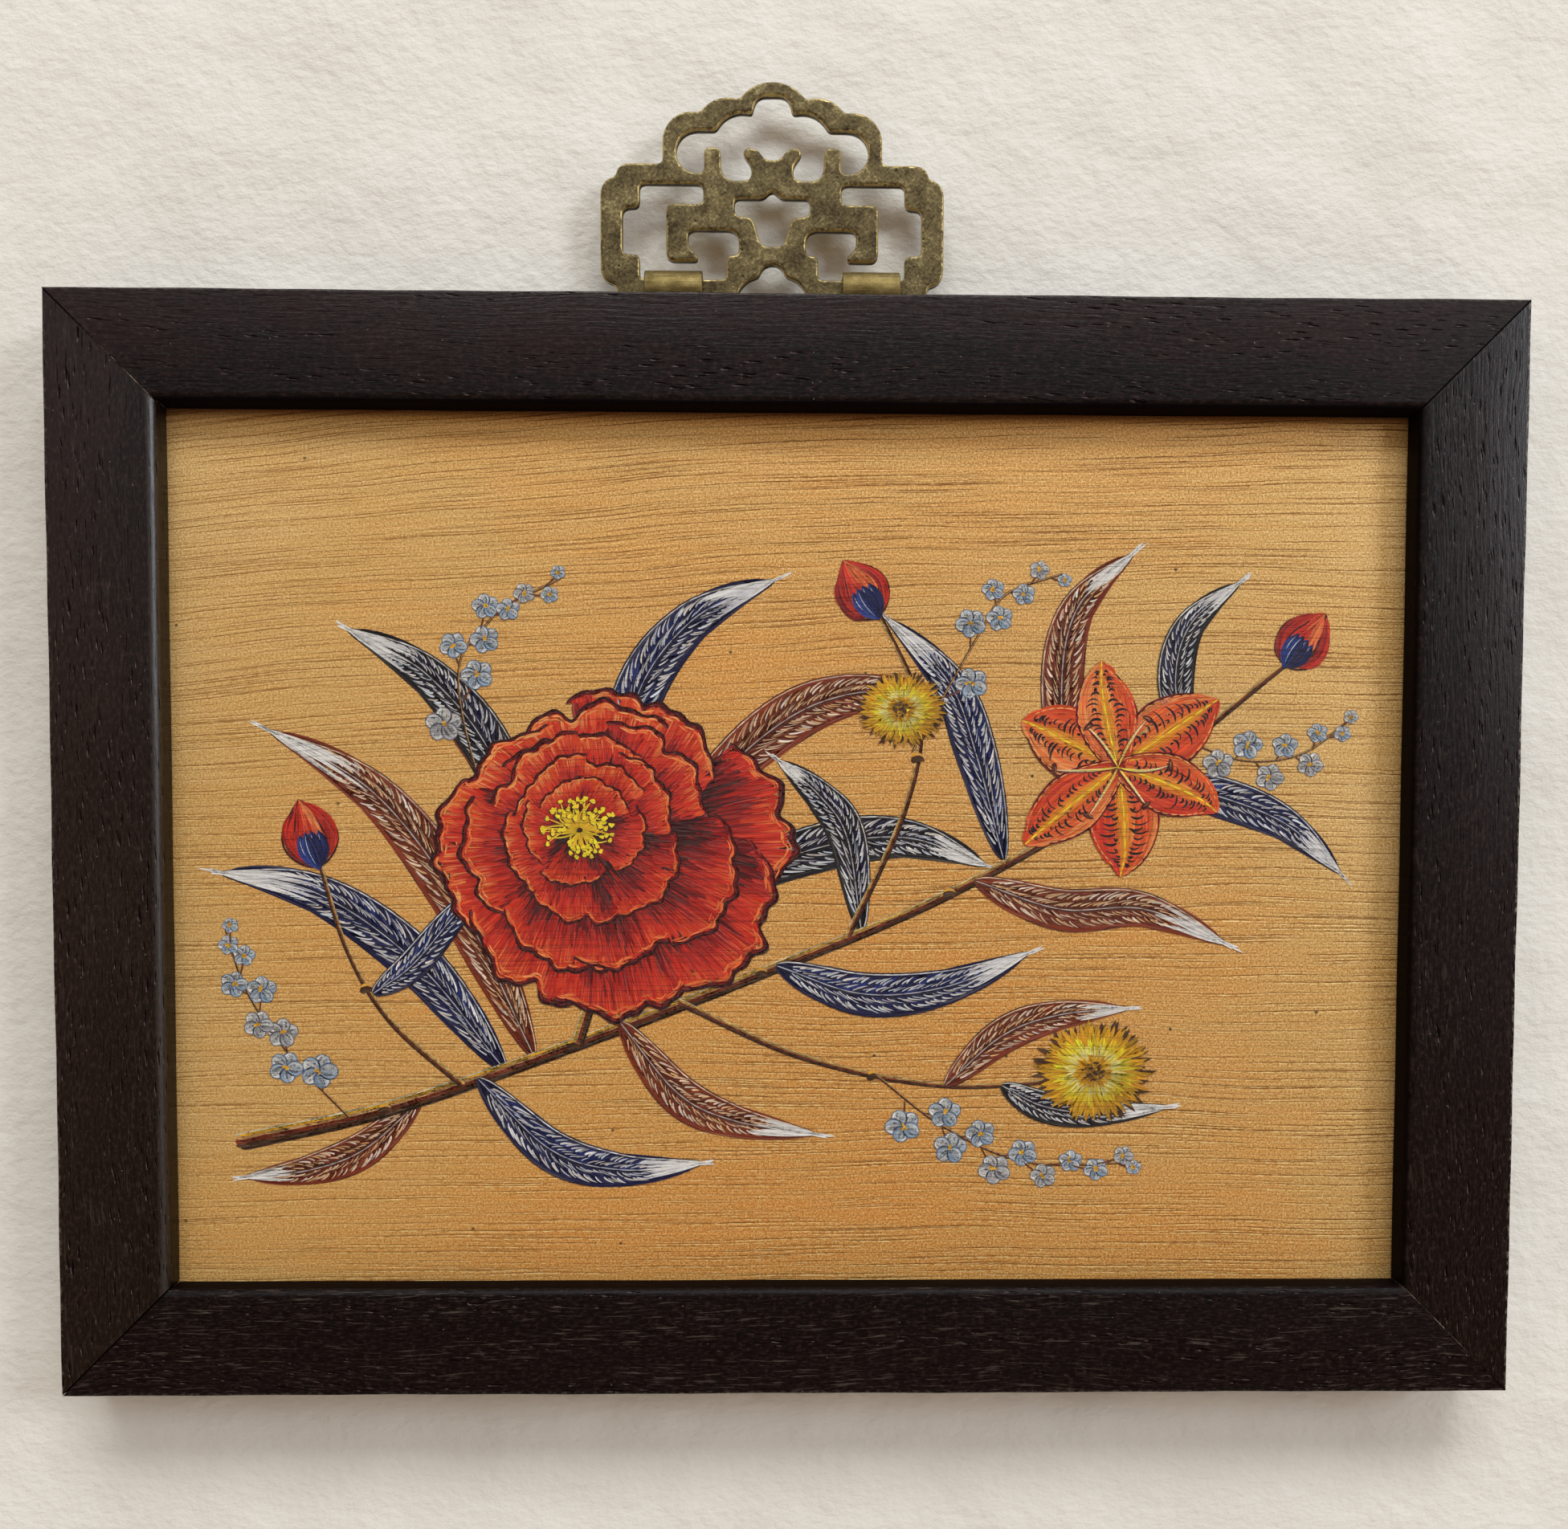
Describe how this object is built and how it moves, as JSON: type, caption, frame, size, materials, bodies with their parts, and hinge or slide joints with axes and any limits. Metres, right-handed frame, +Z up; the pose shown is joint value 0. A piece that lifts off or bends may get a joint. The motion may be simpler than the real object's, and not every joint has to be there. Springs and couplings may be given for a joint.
{
  "type": "framed picture",
  "caption": "Small framed picture: painted gold wood panel in a mitred dark wood frame, hung from a hinged, pierced brass hanger plate.",
  "frame": {"origin": "the hanging seat: the underside of the plate's top arch, halfway through the plate's thickness", "axes": "+Z up, the picture's front faces -Y, +X is the viewer's right"},
  "size_m": [0.202, 0.0132, 0.1832],
  "materials": {
    "antique_brass": "antiqued, dark olive-brown with rubbed bright edges",
    "satin_brass": "satin, lightly tarnished",
    "black_wood": "black-stained open-pore wood, semi-matt",
    "gold_paint": "metallic gold paint over open-grain wood, with a painted design",
    "hardboard": "plain brown hardboard",
    "zinc_steel": "zinc-plated sheet",
    "pad_rubber": "dark grey rubber, matt"
  },
  "bodies": {
    "hanger": {"hanger_plate": "antique_brass"},
    "picture": {"backing_board": "hardboard", "gold_panel": "gold_paint", "rail_bottom": "black_wood", "rail_left": "black_wood", "rail_right": "black_wood", "rail_top": "black_wood", "strap_left": "satin_brass", "strap_right": "satin_brass", "strap_screw_left": "satin_brass", "strap_screw_right": "satin_brass", "tab_bottom_a": "zinc_steel", "tab_bottom_b": "zinc_steel", "tab_left_a": "zinc_steel", "tab_left_b": "zinc_steel", "tab_right_a": "zinc_steel", "tab_right_b": "zinc_steel", "tab_top_a": "zinc_steel", "tab_top_b": "zinc_steel", "wall_pad_left": "pad_rubber", "wall_pad_right": "pad_rubber"}
  },
  "joints": [
    {"name": "hanger_hinge", "type": "hinge", "parent": "hanger", "child": "picture", "pos_m": [0, 0, -0.02665], "axis": [-1, 0, 0], "range_deg": [0, 100]}
  ]
}
